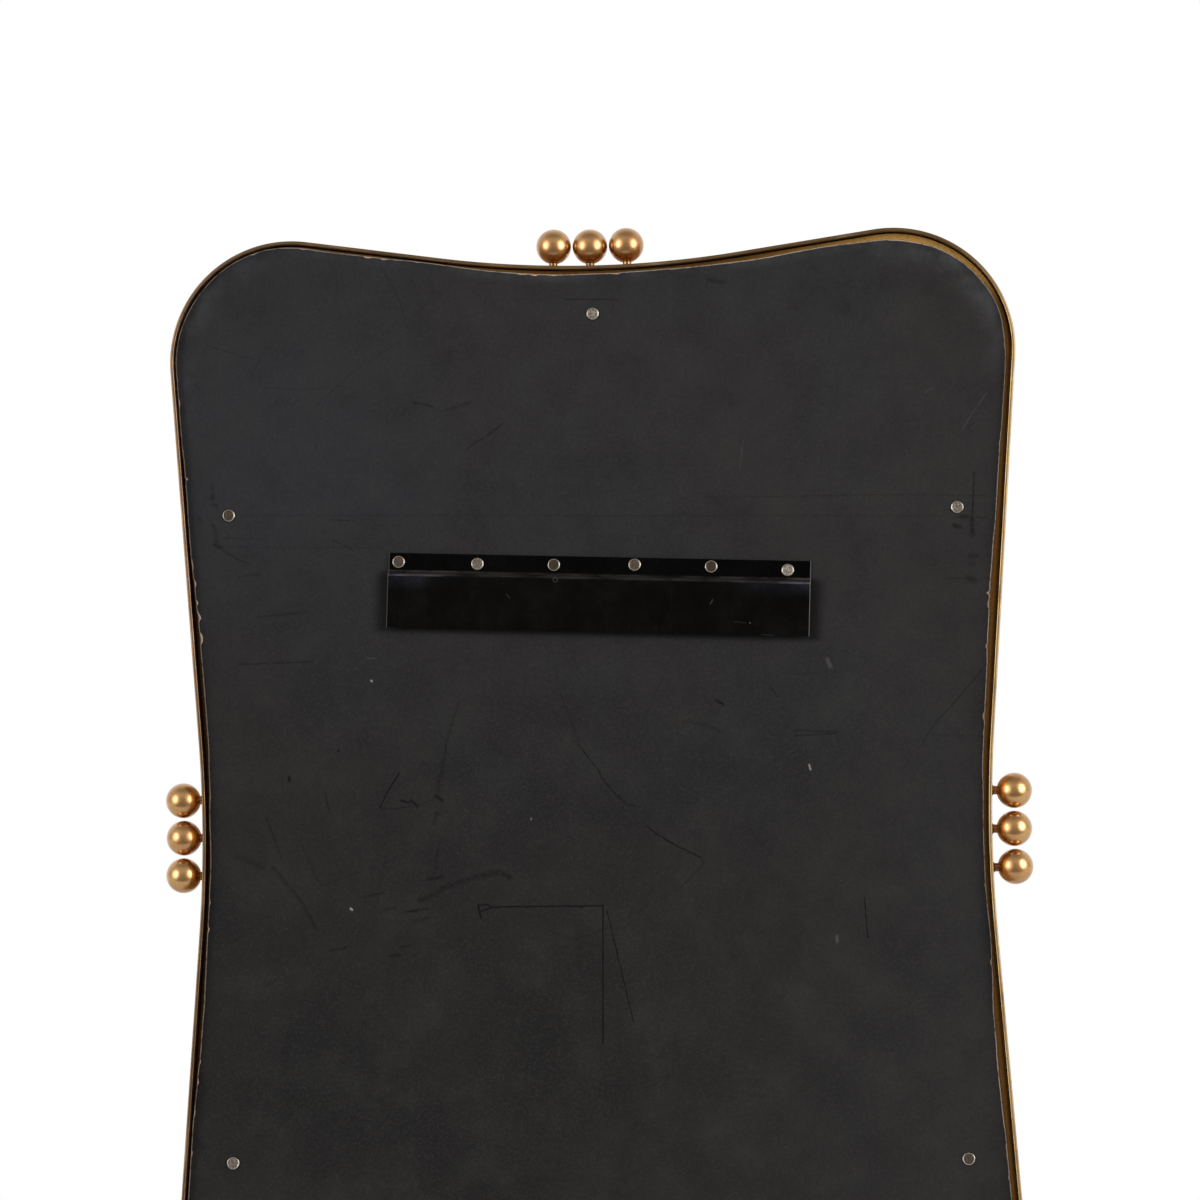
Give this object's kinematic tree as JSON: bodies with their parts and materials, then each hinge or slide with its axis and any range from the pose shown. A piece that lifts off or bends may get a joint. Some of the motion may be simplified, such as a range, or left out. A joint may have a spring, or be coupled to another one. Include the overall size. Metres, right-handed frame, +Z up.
{
  "type": "wall mirror",
  "caption": "Upright wall mirror in a curved brass frame with hollow sides, round shoulders and brass balls on each edge, hung by a bent steel cleat on its back.",
  "frame": {"origin": "middle of the frame's back rim, in the plane of the wall, level with the side clusters of balls", "axes": "+Z up, +Y from the mirror into the wall, -Y the way the glass faces, +X to the right of someone who looks into the glass"},
  "size_m": [0.625, 0.032, 0.8772],
  "materials": {
    "frame_brass": "aged satin brass, darker inside, brighter on worn edges",
    "lip_brass": "brushed satin brass",
    "liner_brass": "dark aged brass, stained along the board",
    "ball_brass": "satin polished brass with a warm tone",
    "collar_brass": "dark aged brass",
    "screw_brass": "plain turned brass",
    "mirror_glass": "clear silvered glass",
    "board_paint": "matt black painted fibre board, scuffed, with pale chipped edges",
    "cleat_enamel": "semi-gloss black enamel with bare cut edges",
    "nail_nickel": "dull nickel plate",
    "batten_wood": "plain planed softwood",
    "felt": "grey felt"
  },
  "bodies": {
    "root": {"frame_band": "frame_brass", "front_lip": "lip_brass", "mirror_glass": "mirror_glass", "glass_packing": "felt", "back_liner": "liner_brass", "back_board": "board_paint", "cleat_batten": "batten_wood", "hanging_cleat": "cleat_enamel", "board_nails": "nail_nickel", "cleat_nails": "nail_nickel", "fixing_block_top": "batten_wood", "fixing_block_bottom": "batten_wood", "fixing_block_upper_left": "batten_wood", "fixing_block_upper_right": "batten_wood", "fixing_block_lower_left": "batten_wood", "fixing_block_lower_right": "batten_wood", "ball_top_1": "ball_brass", "ball_top_2": "ball_brass", "ball_top_3": "ball_brass", "ball_collars_top": "collar_brass", "ball_screws_top": "screw_brass", "ball_bottom_1": "ball_brass", "ball_bottom_2": "ball_brass", "ball_bottom_3": "ball_brass", "ball_collars_bottom": "collar_brass", "ball_screws_bottom": "screw_brass", "ball_left_1": "ball_brass", "ball_left_2": "ball_brass", "ball_left_3": "ball_brass", "ball_collars_left": "collar_brass", "ball_screws_left": "screw_brass", "ball_right_1": "ball_brass", "ball_right_2": "ball_brass", "ball_right_3": "ball_brass", "ball_collars_right": "collar_brass", "ball_screws_right": "screw_brass"}
  },
  "joints": []
}
